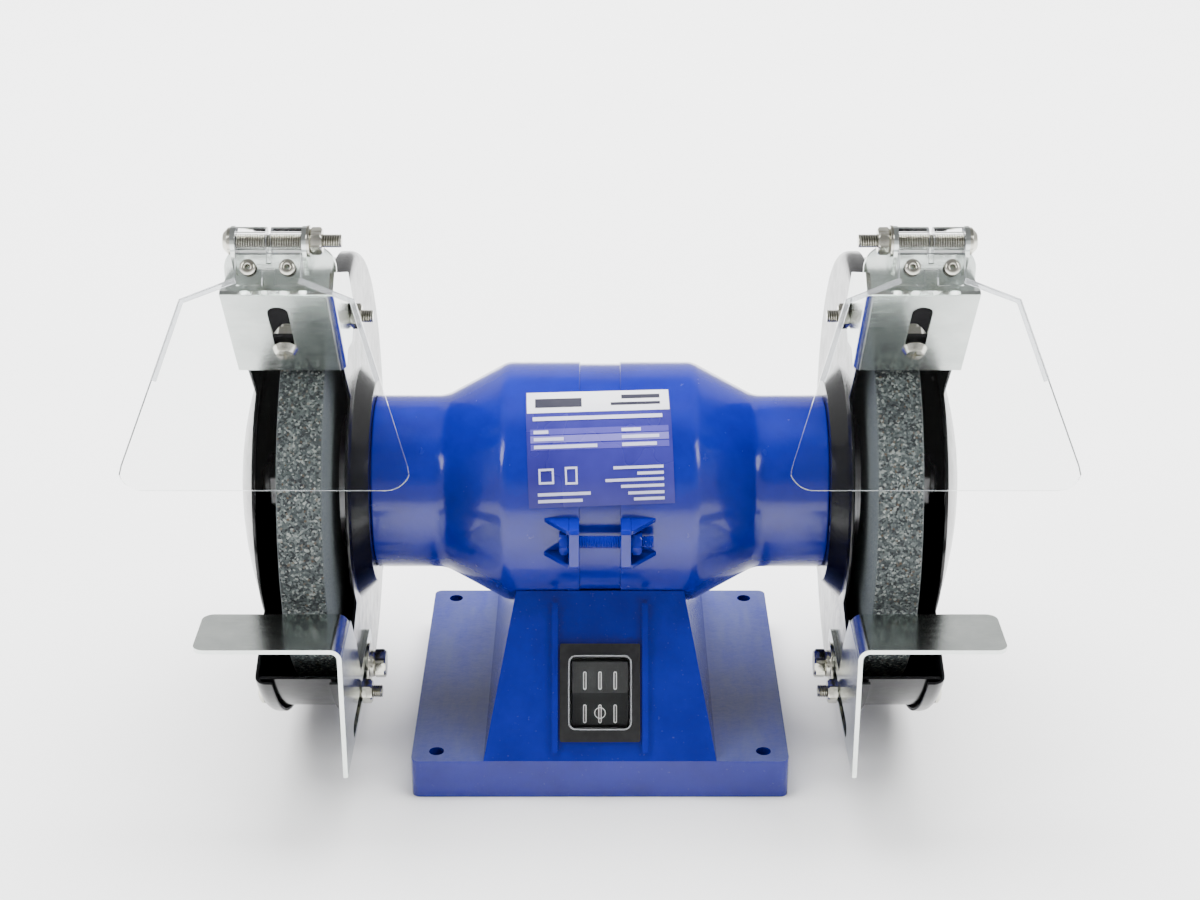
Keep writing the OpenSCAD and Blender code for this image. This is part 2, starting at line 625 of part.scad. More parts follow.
// Tubular rivets through the shield's neck.
module eyelets() color("silver") on_shield() for (x = [-6.5, 6.5])
    translate([hinge_x + x, 9.5, 0]) difference() {
        union() {
            translate([0, 0, -shield_off - shield_t - 0.7]) cylinder(r = 2.7, h = 0.7, $fn = 32);
            translate([0, 0, -shield_off - shield_t - 0.1]) cylinder(r = 1.4, h = 5.3, $fn = 32);
            translate([0, 0, 2.6 - shield_off]) cylinder(r = 2.6, h = 0.7, $fn = 32);
        }
        translate([0, 0, -8]) cylinder(r = 0.8, h = 16, $fn = 24);
    }

module shield_outline() difference() {
    r = 8;
    polygon([[-shield_w - 1.5, shield_l], [shield_w + 1.5, shield_l], [shield_w, 75], [28.7, 20.3],
        [10.8, 13.2], [10.8, 4.8], [-10.8, 4.8], [-10.8, 13.2], [-28.7, 20.3], [-shield_w, 75]]);
    for (i = [-1, 1]) difference() {
        translate([i * (shield_w + 2.4 - r / 2), shield_l - r / 2 + 0.5]) square(r + 1, center = true);
        translate([i * (shield_w + 1.1 - r), shield_l - r]) circle(r);
    }
}

module eye_shield() color("white", 0.25) difference() {
    on_shield() translate([hinge_x, 0, -shield_off - shield_t]) linear_extrude(shield_t)
        shield_outline();
    on_shield() for (x = [-6.5, 6.5]) translate([hinge_x + x, 9.5, -9]) cylinder(r = 1.5, h = 12);
}

module hinge_bolt() color("silver") {
    rod(pin_r, 85, ear_x[1] + plate_t + 0.5, hinge_at[1], hinge_at[2], 48);
    translate([ear_x[1] + plate_t, hinge_at[1], hinge_at[2]]) rotate([0, 90, 0])
        cylinder(r1 = 4.6, r2 = 3, h = 3);
}

module hinge_washers() color("gainsboro") difference() {
    rod(5.2, ear_x[0] - plate_t - 1, ear_x[0] - plate_t, hinge_at[1], hinge_at[2]);
    rod(pin_r + 0.1, 80, 130, hinge_at[1], hinge_at[2]);
}

module hinge_nut() color("silver") difference() {
    rod(4.6, ear_x[0] - plate_t - 5, ear_x[0] - plate_t - 1, hinge_at[1], hinge_at[2], 6);
    rod(pin_r + 0.03, 80, 130, hinge_at[1], hinge_at[2]);
}

// ---- Nodes ----

base_pedestal();
bottom_cover();
rubber_feet();
bottom_cover_screws();
cable_gland();
switch_housing();
switch_rocker();
switch_boot();
run_capacitor();
terminal_block();
left() motor_shell();  // motor_shell_left
motor_shell();  // motor_shell_right
saddle_screws();
clamp_bolts();
clamp_nuts();
stator_stack();
stator_winding();
bearing_outer_rings();
bearing_inner_rings();
bearing_balls();
rating_label();
spindle();
rotor_core();
cooling_fan();
left() wheel();  // wheel_left
wheel();  // wheel_right
inner_flanges();
outer_flanges();
spindle_nuts();
left() inner_guard();  // inner_guard_left
inner_guard();  // inner_guard_right
left() guard_band();  // guard_band_left
guard_band();  // guard_band_right
left() guard_cover();  // guard_cover_left
guard_cover();  // guard_cover_right
cover_screws();
cover_nuts();
guard_mounting_screws();
left() tool_rest();  // tool_rest_left
tool_rest();  // tool_rest_right
rest_bolts();
rest_washers();
rest_nuts();
left() shield_bracket();  // shield_bracket_left
shield_bracket();  // shield_bracket_right
bracket_screws();
bracket_nuts();
left() hinge_block();  // hinge_block_left
hinge_block();  // hinge_block_right
left() eyelets();  // eyelets_left
eyelets();  // eyelets_right
left() eye_shield();  // eye_shield_left
eye_shield();  // eye_shield_right
left() hinge_bolt();  // hinge_bolt_left
hinge_bolt();  // hinge_bolt_right
left() hinge_nut();  // hinge_nut_left
hinge_nut();  // hinge_nut_right
left() hinge_washers();  // hinge_washers_left
hinge_washers();  // hinge_washers_right
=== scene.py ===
import json
import math

import bmesh
import bpy
from mathutils import Euler, Matrix, Vector


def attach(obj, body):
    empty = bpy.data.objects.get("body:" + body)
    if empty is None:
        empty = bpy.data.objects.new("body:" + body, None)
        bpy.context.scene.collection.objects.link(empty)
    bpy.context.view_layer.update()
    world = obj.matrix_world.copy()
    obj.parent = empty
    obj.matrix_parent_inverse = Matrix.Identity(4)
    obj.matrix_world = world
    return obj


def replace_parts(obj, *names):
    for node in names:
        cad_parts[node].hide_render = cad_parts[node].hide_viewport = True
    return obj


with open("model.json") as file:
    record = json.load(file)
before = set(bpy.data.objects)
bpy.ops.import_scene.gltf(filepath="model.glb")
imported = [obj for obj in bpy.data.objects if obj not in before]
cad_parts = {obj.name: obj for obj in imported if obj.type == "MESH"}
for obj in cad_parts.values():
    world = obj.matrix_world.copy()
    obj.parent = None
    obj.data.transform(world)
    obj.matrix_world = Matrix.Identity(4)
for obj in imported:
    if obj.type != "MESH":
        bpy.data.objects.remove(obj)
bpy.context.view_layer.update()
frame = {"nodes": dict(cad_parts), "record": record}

N = frame["nodes"]
MM = 0.001
H = 0.0977                                      # the shaft's height
MOTOR_R = 45.2                                  # radius of the motor's middle, in mm
SCREW_R = 0.0805                                # the cover screws' distance from the shaft
SCREWS = (71.2, 190.0, 309.2)                   # and their angles up from the front
REST_BOLT = (-0.029, 0.0347)                    # (y, z) of the tool rests' bolts
HINGE = Vector((0, -0.067, 0.2156))             # axis of the eye shields
NUT_AF, NUT_BORE = 0.008, 0.0021                # the small nuts' width over the flats, and bore radius
SWITCH_CENTRE = 0.025                           # up the pedestal's front slope
BOOT_TOP = 0.0068                               # above that slope
SIDES = (("left", -1), ("right", 1))
TILT = math.radians(30.3)                       # of the eye shields at rest
SLOPE = math.atan2(69 - 15.3, 67.5 - 35.5)      # of the pedestal's front
DOWN = Vector((0, -math.sin(TILT), -math.cos(TILT)))
FRONT = Vector((0, -math.cos(TILT), math.sin(TILT)))

# ---------------------------------------------------------------- camera
cam_data = bpy.data.cameras.new("camera")
cam = bpy.data.objects.new("camera", cam_data)
bpy.context.scene.collection.objects.link(cam)
cam.location = (0, -0.7481, 0.44255)
cam.rotation_euler = Euler((math.radians(66.06), 0, 0))
cam_data.lens = 64.97
cam_data.sensor_width = 36
cam_data.clip_start, cam_data.clip_end = 0.01, 50
bpy.context.scene.camera = cam


# ---------------------------------------------------------------- materials
class Mat:
    """A node material that reads the row frame's own coordinates."""

    def __init__(self, name, **constants):
        self.m = bpy.data.materials.new(name)
        self.m.use_nodes = True
        self.nt = self.m.node_tree
        self.p = self.nt.nodes["Principled BSDF"]
        self.co = self.nt.nodes.new("ShaderNodeTexCoord").outputs["Object"]
        self.normal_height = None
        for k, v in constants.items():
            self.p.inputs[k.replace("_", " ")].default_value = v

    def node(self, kind, props=None, **inputs):
        n = self.nt.nodes.new("ShaderNode" + kind)
        for k, v in (props or {}).items():
            setattr(n, k, v)
        for k, v in inputs.items():
            self.put(n.inputs[k.replace("_", " ")], v)
        return n

    def put(self, socket, v):
        if isinstance(v, bpy.types.NodeSocket):
            self.nt.links.new(v, socket)
        else:
            socket.default_value = v

    def math(self, op, a, b=0.0, clamp=False):
        n = self.nt.nodes.new("ShaderNodeMath")
        n.operation, n.use_clamp = op, clamp
        self.put(n.inputs[0], a)
        self.put(n.inputs[1], b)
        return n.outputs[0]

    def scaled(self, sx, sy, sz):
        n = self.node("Mapping", Vector=self.co)
        n.inputs["Scale"].default_value = (sx, sy, sz)
        return n.outputs[0]

    def noise(self, scale, detail=3.0, rough=0.55, co=None):
        n = self.node("TexNoise", Vector=co or self.co, Scale=scale, Detail=detail, Roughness=rough)
        return n.outputs["Fac"]

    def ramp(self, fac, *stops):
        n = self.node("ValToRGB", Fac=fac)
        e = n.color_ramp.elements
        while len(e) < len(stops):
            e.new(0.5)
        for i, (pos, c) in enumerate(stops):
            e[i].position = pos
            e[i].color = (*c, 1) if isinstance(c, (tuple, list)) else (c, c, c, 1)
        return n.outputs["Color"]

    def mix(self, fac, a, b):
        n = self.nt.nodes.new("ShaderNodeMix")
        n.data_type = "RGBA"
        self.put(n.inputs[0], fac)
        for i, v in ((6, a), (7, b)):
            self.put(n.inputs[i], (*v, 1) if isinstance(v, (tuple, list)) else v)
        return n.outputs[2]

    def bump(self, height, strength, distance):
        kw = {"Normal": self.normal_height} if self.normal_height else {}
        n = self.node("Bump", Height=height, Strength=strength, Distance=distance, **kw)
        self.normal_height = n.outputs[0]
        self.put(self.p.inputs["Normal"], n.outputs[0])

    def axis(self, what, i):
        src = self.co if what == "co" else self.nt.nodes.new("ShaderNodeNewGeometry").outputs["Normal"]
        return self.node("SeparateXYZ", Vector=src).outputs[i]

    def colour(self, v):
        self.put(self.p.inputs["Base Color"], v)

    def rough(self, v):
        self.put(self.p.inputs["Roughness"], v)


def paint(name, a, b, rough, peel=0.12, coat=0.4):
    m = Mat(name, Coat_Weight=coat, Coat_Roughness=0.05, Specular_IOR_Level=0.35)
    m.colour(m.ramp(m.noise(45, 4), (0.35, a), (0.65, b)))
    m.rough(m.ramp(m.noise(160, 5), (0.3, rough), (0.75, rough + 0.12)))
    m.bump(m.noise(420, 2), peel, 0.0006)
    m.bump(m.noise(2600, 2), peel * 0.35, 0.0001)
    return m


BLUE_A, BLUE_B = (0.0012, 0.0045, 0.175), (0.002, 0.0075, 0.23)
blue = paint("blue_paint", BLUE_A, BLUE_B, 0.17)

# The base's paint, dusty on what faces up beside the pedestal
blue_base = Mat("blue_base_paint", Coat_Weight=0.35, Coat_Roughness=0.08, Specular_IOR_Level=0.35)
up = blue_base.math("SUBTRACT", blue_base.axis("normal", 2), 0.93)
up = blue_base.math("MULTIPLY", up, 25.0, clamp=True)
low = blue_base.math("LESS_THAN", blue_base.axis("co", 2), 0.0165)
streak = blue_base.noise(1, 6, 0.7, blue_base.scaled(120, 26, 40))
dust = blue_base.math("MULTIPLY", up, low)
dust = blue_base.math("MULTIPLY", dust, blue_base.ramp(streak, (0.3, 0.25), (0.7, 0.85)))
specks = blue_base.math("GREATER_THAN", blue_base.noise(900, 3), 0.7)
body_blue = blue_base.ramp(blue_base.noise(45, 4), (0.35, BLUE_A), (0.65, BLUE_B))
body_blue = blue_base.mix(dust, body_blue, (0.075, 0.09, 0.19))
body_blue = blue_base.mix(blue_base.math("MULTIPLY", specks, 0.25), body_blue, (0.1, 0.11, 0.25))
blue_base.colour(body_blue)
blue_base.rough(blue_base.math("ADD", blue_base.math("MULTIPLY", dust, 0.3), 0.2))
blue_base.bump(blue_base.noise(300, 3), 0.2, 0.0008)
blue_base.bump(blue_base.noise(1900, 3), 0.08, 0.0002)

black = paint("black_paint", (0.0015, 0.0015, 0.002), (0.004, 0.004, 0.0045), 0.16, 0.08, 0.12)
sheet_black = paint("matt_sheet_paint", (0.01, 0.01, 0.01), (0.02, 0.02, 0.02), 0.5, 0.3, 0.1)


def metal(name, a, b, rough, brush, coords=(60, 60, 60)):
    m = Mat(name, Metallic=1.0)
    blotch = m.noise(70, 5, 0.6)
    m.colour(m.ramp(blotch, (0.3, a), (0.7, b)))
    fine = m.noise(1, 4, 0.6, m.scaled(*coords))
    m.rough(m.ramp(fine, (0.25, rough), (0.8, rough + 0.14)))
    m.bump(fine, brush, 0.00012)
    m.bump(m.noise(240, 2), 0.05, 0.0004)
    return m


zinc = metal("zinc_plate", (0.6, 0.64, 0.62), (0.75, 0.79, 0.76), 0.14, 0.05, (90, 2200, 2200))
fastener = metal("plated_fastener", (0.5, 0.49, 0.42), (0.68, 0.67, 0.6), 0.16, 0.02, (300, 90, 90))
steel = metal("turned_steel", (0.45, 0.45, 0.46), (0.6, 0.6, 0.61), 0.25, 0.2, (3500, 30, 30))
lamination = metal("lamination_steel", (0.14, 0.14, 0.15), (0.24, 0.24, 0.25), 0.4, 0.6, (2000, 20, 20))
copper = metal("enamelled_copper", (0.5, 0.17, 0.07), (0.68, 0.28, 0.12), 0.3, 0.8, (60, 2400, 2400))
# Darker metal colour for the threads' grooves: painted shade
groove_shade = metal("thread_groove_shade", (0.09, 0.088, 0.075), (0.15, 0.145, 0.12), 0.35, 0.02, (300, 90, 90))

# Bonded grit: coarse and open on the rim, dressed smoother on the sides
grit = Mat("grit", Specular_IOR_Level=0.25)
cell = grit.node("TexVoronoi", Vector=grit.co, Scale=1350.0)
fine_cell = grit.node("TexVoronoi", Vector=grit.co, Scale=2600.0)
grain = grit.node("SeparateXYZ", Vector=cell.outputs["Color"]).outputs
fine_grain = grit.node("SeparateXYZ", Vector=fine_cell.outputs["Color"]).outputs
coarse = grit.ramp(grain[0], (0.0, (0.012, 0.014, 0.016)), (0.25, (0.034, 0.04, 0.043)),
                   (0.6, (0.068, 0.08, 0.08)), (0.85, (0.13, 0.15, 0.145)), (1.0, (0.27, 0.29, 0.27)))
rust = grit.math("GREATER_THAN", grain[1], 0.96)
coarse = grit.mix(grit.math("MULTIPLY", rust, 0.5), coarse, (0.11, 0.07, 0.04))
smooth_side = grit.ramp(fine_grain[0], (0.0, (0.052, 0.062, 0.065)), (0.5, (0.078, 0.09, 0.094)),
                        (1.0, (0.115, 0.13, 0.13)))
side = grit.math("ABSOLUTE", grit.axis("normal", 0))
side = grit.math("MULTIPLY", grit.math("SUBTRACT", side, 0.55), 6.0, clamp=True)
cloud = grit.noise(38, 4)
both = grit.mix(side, coarse, smooth_side)
grit.colour(grit.mix(grit.ramp(cloud, (0.35, 0.0), (0.8, 0.22)), both, (0.045, 0.05, 0.053)))
grit.rough(grit.ramp(fine_grain[1], (0.0, 0.7), (1.0, 0.95)))
relief = grit.math("MULTIPLY", grain[2], grit.math("SUBTRACT", 1.15, side))
grit.bump(relief, 0.6, 0.0004)
grit.bump(fine_grain[2], 0.3, 0.0002)


def clear_plastic(name, facing, test, threshold, ior, highlight_colour, highlight_clear):
    """Clear plastic with painted highlights on its edges, found by how a face lies to the given direction."""
    m = Mat(name)
    m.p.inputs["IOR"].default_value = ior
    normal = m.nt.nodes.new("ShaderNodeTexCoord").outputs["Normal"]
    dot = m.node("VectorMath", {"operation": "DOT_PRODUCT"})
    m.put(dot.inputs[0], normal)
    m.put(dot.inputs[1], facing)
    # The edge faces get a painted highlight: a pale colour and less transmission
    edge_highlight = m.math(test, m.math("ABSOLUTE", dot.outputs["Value"]), threshold)
    m.colour(m.mix(edge_highlight, (0.955, 0.965, 0.96), highlight_colour))
    m.put(m.p.inputs["Transmission Weight"], m.math("SUBTRACT", 1.0, m.math("MULTIPLY", edge_highlight, 1 - highlight_clear)))
    m.rough(m.ramp(m.noise(55, 4), (0.4, 0.02), (0.8, 0.06)))
    m.bump(m.noise(30, 2), 0.03, 0.0006)
    return m


# The pale, less clear edges of the shields, the switch's boot and the clear knuckles are painted highlights
shield_sheet = clear_plastic("shield_sheet", FRONT, "LESS_THAN", 0.8, 1.22, (0.6, 0.63, 0.65), 0.4)
boot_clear = clear_plastic("boot_plastic", (0, -math.sin(SLOPE), math.cos(SLOPE)), "LESS_THAN", 0.9, 1.15,
                           (0.75, 0.76, 0.76), 0.1)
clear = clear_plastic("clear_plastic", (1, 0, 0), "GREATER_THAN", 0.7, 1.25, (0.6, 0.62, 0.66), 0.5)

# Pale plastic for the shields' raised rims, and for the painted highlight ring on the switch's boot
rim_and_highlight_plastic = Mat("moulded_rim_and_painted_highlight", IOR=1.3, Transmission_Weight=0.75)
rim_and_highlight_plastic.colour(rim_and_highlight_plastic.ramp(rim_and_highlight_plastic.noise(60, 3), (0.3, (0.7, 0.72, 0.75)),
                                    (0.7, (0.8, 0.82, 0.84))))
rim_and_highlight_plastic.rough(rim_and_highlight_plastic.ramp(rim_and_highlight_plastic.noise(90, 3), (0.3, 0.06), (0.7, 0.16)))
rim_and_highlight_plastic.bump(rim_and_highlight_plastic.noise(140, 2), 0.05, 0.0004)

satin = Mat("black_satin_plastic", Specular_IOR_Level=0.5)
satin.colour(satin.ramp(satin.noise(500, 3), (0.3, (0.008, 0.008, 0.009)), (0.7, (0.015, 0.015, 0.016))))
satin.rough(satin.ramp(satin.noise(900, 3), (0.3, 0.28), (0.7, 0.42)))
satin.bump(satin.noise(2600, 2), 0.25, 0.00012)

rubber = Mat("rubber", Specular_IOR_Level=0.3)
rubber.colour(rubber.ramp(rubber.noise(300, 4), (0.3, (0.012, 0.012, 0.012)), (0.7, (0.028, 0.027, 0.026))))
rubber.rough(rubber.ramp(rubber.noise(700, 3), (0.2, 0.6), (0.8, 0.85)))
rubber.bump(rubber.noise(1500, 3), 0.3, 0.0002)

pale = Mat("pale_moulding")
pale.colour(pale.ramp(pale.noise(220, 4), (0.3, (0.62, 0.6, 0.53)), (0.7, (0.7, 0.68, 0.61))))
pale.rough(pale.ramp(pale.noise(400, 2), (0.3, 0.35), (0.7, 0.5)))
pale.bump(pale.noise(1600, 2), 0.2, 0.0001)


def print_and_highlight_ink(name, a, b, rough=0.22):
    m = Mat(name, Coat_Weight=0.3, Coat_Roughness=0.12)
    m.colour(m.ramp(m.noise(34, 3), (0.35, a), (0.65, b)))
    m.rough(m.ramp(m.noise(30, 2), (0.3, rough), (0.7, rough + 0.1)))
    m.bump(m.noise(60, 1), 0.04, 0.0005)
    return m


ink_violet = print_and_highlight_ink("label_violet", (0.018, 0.014, 0.17), (0.032, 0.028, 0.24))
ink_white = print_and_highlight_ink("label_white", (0.68, 0.7, 0.78), (0.8, 0.81, 0.86))
# Lilac inks for the label's painted highlight bands
ink_highlight_lilac = print_and_highlight_ink("label_highlight_lilac", (0.06, 0.05, 0.3), (0.085, 0.07, 0.36))
ink_highlight_light = print_and_highlight_ink("label_highlight_light_lilac", (0.13, 0.11, 0.4), (0.17, 0.15, 0.48))
ink_dark = print_and_highlight_ink("label_dark", (0.02, 0.02, 0.035), (0.035, 0.035, 0.05))
ink_pale = print_and_highlight_ink("label_pale", (0.5, 0.5, 0.72), (0.6, 0.6, 0.8))
legend = Mat("switch_legend")
legend.colour(legend.ramp(legend.noise(700, 2), (0.3, (0.7, 0.7, 0.7)), (0.7, (0.85, 0.85, 0.85))))
legend.rough(legend.ramp(legend.noise(500, 2), (0.3, 0.35), (0.7, 0.5)))

BY_SLOT = {
    "blue_paint": blue, "black_paint": black, "cover_sheet": sheet_black, "rubber": rubber,
    "zinc_plate": zinc, "fastener": fastener, "turned_steel": steel, "laminations": lamination,
    "copper": copper, "abrasive": grit, "black_plastic": satin, "pale_plastic": pale,
    "clear_plastic": clear, "label": ink_violet,
}
SLOT_OF = {s["node"]: s["material_slot"] for s in frame["record"]["subparts"]}
for name, o in N.items():
    o.data.materials.clear()
    o.data.materials.append(BY_SLOT[SLOT_OF[name]].m)
for name, m in (("clamp_bolts", blue), ("clamp_nuts", blue), ("stator_stack", blue),
                ("base_pedestal", blue_base), ("switch_boot", boot_clear),
                ("eye_shield_left", shield_sheet), ("eye_shield_right", shield_sheet)):
    N[name].data.materials[0] = m.m


# ---------------------------------------------------------------- mesh helpers
def shade(o, angle=35):
    for p in o.data.polygons:
        p.use_smooth = True
    o.data.set_sharp_from_angle(angle=math.radians(angle))


def soften(o, width, angle=32, segments=2):
    """Welds a CAD node's facets together and rounds its sharp edges by a modifier."""
    w = o.modifiers.new("weld", "WELD")
    w.merge_threshold = 2e-6
    b = o.modifiers.new("edge", "BEVEL")
    b.width, b.segments, b.limit_method = width, segments, "ANGLE"
    b.angle_limit = math.radians(angle)
    b.use_clamp_overlap = True
    n = o.modifiers.new("normals", "WEIGHTED_NORMAL")
    n.weight, n.keep_sharp = 100, True


def make(name, verts, faces, mat, body, slot_name, angle=35, extra=()):
    me = bpy.data.meshes.new(name)
    me.from_pydata([tuple(v) for v in verts], [], faces)
    me.validate()
    bm = bmesh.new()
    bm.from_mesh(me)
    bmesh.ops.remove_doubles(bm, verts=bm.verts, dist=1e-7)
    bmesh.ops.recalc_face_normals(bm, faces=bm.faces)
    bm.to_mesh(me)
    bm.free()
    o = bpy.data.objects.new(name, me)
    bpy.context.scene.collection.objects.link(o)
    for m in (mat, *extra):
        me.materials.append(m.m)
    shade(o, angle)
    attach(o, body)
    return o


def darken_roots(o, axes, limit, x0, x1):
    """Gives a thread's grooves a darker colour, a painted shade; axes are the screws' (y, z)."""
    for p in o.data.polygons:
        far = min(math.hypot(p.center.y - y, p.center.z - z) for y, z in axes)
        if far < limit and x0 < abs(p.center.x) < x1:
            p.material_index = 1


def join(parts):
    """Puts several (verts, faces) lists together."""
    vs, fs = [], []
    for v, f in parts:
        k = len(vs)
        vs += list(v)
        fs += [[i + k for i in face] for face in f]
    return vs, fs


def fillet(points, radii, seg=6):
    """Rounds the corners of an open line of 2-D points."""
    out = [points[0]]
    for i in range(1, len(points) - 1):
        a, b, c = (Vector(points[i + k]) for k in (-1, 0, 1))
        r = radii[i]
        if r <= 0:
            out.append(tuple(b))
            continue
        u, v = (a - b).normalized(), (c - b).normalized()
        half = u.angle(v) / 2
        t = min(r / math.tan(half), (a - b).length * 0.49, (c - b).length * 0.49)
        rr = t * math.tan(half)
        centre = b + (u + v).normalized() * (rr / math.sin(half))
        p, q = b + u * t - centre, b + v * t - centre
        total = p.angle(q)
        sign = 1 if p.x * q.y - p.y * q.x > 0 else -1
        for k in range(seg + 1):
            w = sign * total * k / seg
            out.append((centre.x + p.x * math.cos(w) - p.y * math.sin(w),
                        centre.y + p.x * math.sin(w) + p.y * math.cos(w)))
    out.append(points[-1])
    return out


def lathe(line, y=0.0, z=H, seg=128):
    """Turns a closed line of (radius, x) about an axis along X."""
    vs, fs = [], []
    n = len(line)
    for i in range(seg):
        a = 2 * math.pi * i / seg
        for r, x in line:
            vs.append((x, y + r * math.sin(a), z + r * math.cos(a)))
    for i in range(seg):
        j = (i + 1) % seg
        for k in range(n):
            m = (k + 1) % n
            if line[k][0] < 1e-9 and line[m][0] < 1e-9:
                continue
            fs.append([i * n + k, i * n + m, j * n + m, j * n + k])
    return vs, fs


def thread(x0, x1, y, z, major, pitch, seg=28, s=1):
    """A screw thread along X from x0 to x1 with chamfered ends."""
    minor = major - 0.6 * pitch
    rows = max(2, int(round((x1 - x0) / pitch * 8)))
    vs, fs = [], []
    for k in range(rows + 1):
        x = x0 + (x1 - x0) * k / rows
        for i in range(seg):
            t = i / seg
            ph = ((x - x0) / pitch - t) % 1.0
            r = minor + (major - minor) * (1 - abs(2 * ph - 1))
            end = min(x - x0, x1 - x)
            r = min(r, minor + end * 0.9 + 0.00005)
            a = 2 * math.pi * t
            vs.append((s * x, y + r * math.cos(a), z + r * math.sin(a)))
    for k in range(rows):
        for i in range(seg):
            j = (i + 1) % seg
            fs.append([k * seg + i, k * seg + j, (k + 1) * seg + j, (k + 1) * seg + i])
    fs.append(list(range(seg)))
    fs.append([rows * seg + i for i in range(seg)])
    return vs, fs


def hexagon(x0, x1, y, z, af, bore, turn=0.0, chamfer=0.0006, s=1):
    """A nut or a bolt's head along X with chamfered corners, from its width over the flats."""
    seg = 72
    corner = af / 2 / math.cos(math.pi / 6)
    vs, fs = [], []
    face = af / 2 * 0.96
    prof = [(bore, x0), (face, x0), (corner, x0 + chamfer), (corner, x1 - chamfer), (face, x1), (bore, x1)]
    n = len(prof)
    for i in range(seg):
        a = 2 * math.pi * i / seg
        flat = af / 2 / math.cos((a % (math.pi / 3)) - math.pi / 6)
        for r, x in prof:
            rr = min(r, flat)
            vs.append((s * x, y + rr * math.cos(a + turn), z + rr * math.sin(a + turn)))
    for i in range(seg):
        j = (i + 1) % seg
        for k in range(n - 1 if bore <= 0 else n):
            m = (k + 1) % n
            fs.append([i * n + k, i * n + m, j * n + m, j * n + k])
    return vs, fs


def place(part, m):
    return [m @ Vector(v) for v in part[0]], part[1]


# ---------------------------------------------------------------- CAD nodes that stay
SOFT_EDGES = {
    0.9: ("base_pedestal",),
    0.6: ("spindle_nuts",),
    0.5: ("switch_boot", "eye_shield_left", "eye_shield_right"),
    0.4: ("cable_gland", "switch_rocker", "wheel_left", "wheel_right", "rubber_feet"),
    0.35: ("switch_housing", "tool_rest_left", "tool_rest_right"),
    0.3: ("bracket_nuts", "inner_guard_left", "inner_guard_right", "guard_cover_left", "guard_cover_right",
          "bottom_cover", "cover_nuts"),
    0.25: ("bracket_screws", "rest_washers", "guard_band_left", "guard_band_right"),
    0.2: ("hinge_washers_left", "hinge_washers_right"),
}
for width, names in SOFT_EDGES.items():
    for name in names:
        soften(N[name], width * MM)

# ---------------------------------------------------------------- motor
SHELL = [(44.2, 7.4), (MOTOR_R, 7.4), (MOTOR_R, 34.8), (32.6, 58.2), (32.6, 84.0), (20.5, 84.0),
         (20.5, 81.0), (29.6, 81.0), (29.6, 59.2), (42.2, 35.8), (42.2, 7.4)]
SHELL_ROUNDING = [0, 0.6, 9, 12, 0.8, 0, 0, 0, 0, 0, 0]
# A lug is an upright plate with a fin at its lower and upper end
LUG_Y = (43.4, 56.0)
LUG_Z = (88.1, 103.5)
LUG_PLATE_X = (7.4, 11.2)
FIN_T = 1.9


def prism(s, front, outline, axis, lo, hi):
    """An outline in mm drawn out along X or Z, mirrored by the signs s in X and front in Y."""
    vs = []
    for t in (lo, hi):
        for a, b in outline:
            p = (a, b, t) if axis == "z" else (t, a, b)
            vs.append((s * p[0] * MM, front * p[1] * MM, p[2] * MM))
    n = len(outline)
    fs = [list(range(n)), list(range(n, 2 * n))]
    fs += [[i, (i + 1) % n, n + (i + 1) % n, n + i] for i in range(n)]
    return vs, fs


for side_name, s in SIDES:
    pts = fillet([(r * MM, x * MM) for r, x in SHELL], [r * MM for r in SHELL_ROUNDING], 10)
    body_piece = make(f"motor_shell_{side_name}_body", *lathe([(r, s * x) for r, x in pts], seg=160), blue,
                      "frame", "blue_paint")
    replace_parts(body_piece, f"motor_shell_{side_name}")
    parts = []
    (y0, y1), (z0, z1) = LUG_Y, LUG_Z
    plate = [(y0, z0), (y1 - 1.2, z0), (y1, z0 + 1.2), (y1, z1 - 1.2), (y1 - 1.2, z1), (y0, z1)]
    fin = [(11.1, y1 - 0.6), (12.0, y1 - 1.2), (20.5, 44.4), (20.5, y0), (11.1, y0)]
    for front in (-1, 1):
        parts.append(prism(s, front, plate, "x", *LUG_PLATE_X))
        for lo in (z0, z1 - FIN_T):
            parts.append(prism(s, front, fin, "z", lo, lo + FIN_T))
    for i, part in enumerate(parts):
        lug = make(f"motor_lug_{side_name}_{i}", *part, blue, "frame", "blue_paint")
        b = lug.modifiers.new("edge", "BEVEL")
        b.width, b.segments = 0.45 * MM, 3
        b.limit_method = "ANGLE"
        b.harden_normals = True

# Clamping bolts between the lugs, under the paint
for place_name, front in (("front", -1), ("back", 1)):
    y, z = front * 0.0504, 0.0966
    bolt = make(f"clamp_thread_{place_name}", *thread(-0.0142, 0.0192, y, z, 0.0025, 0.0009), blue,
                "frame", "blue_paint")
    make(f"clamp_head_{place_name}", *hexagon(-0.0146, -0.0112, y, z, NUT_AF, 0.0), blue,
         "frame", "blue_paint")
    nut = make(f"clamp_nut_{place_name}", *hexagon(0.0112, 0.0150, y, z, NUT_AF, NUT_BORE), blue,
               "frame", "blue_paint")
    if front < 0:
        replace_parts(bolt, "clamp_bolts")
        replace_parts(nut, "clamp_nuts")


# ---------------------------------------------------------------- label
LABEL_TURN = 0.038                              # radians that the label is stuck on askew
LABEL_LEAN = 1.268                              # degrees up from the front for each mm round the motor
LABEL_MIDDLE = 0.72                             # angle in radians that the label turns about
FOIL_T = 0.00008


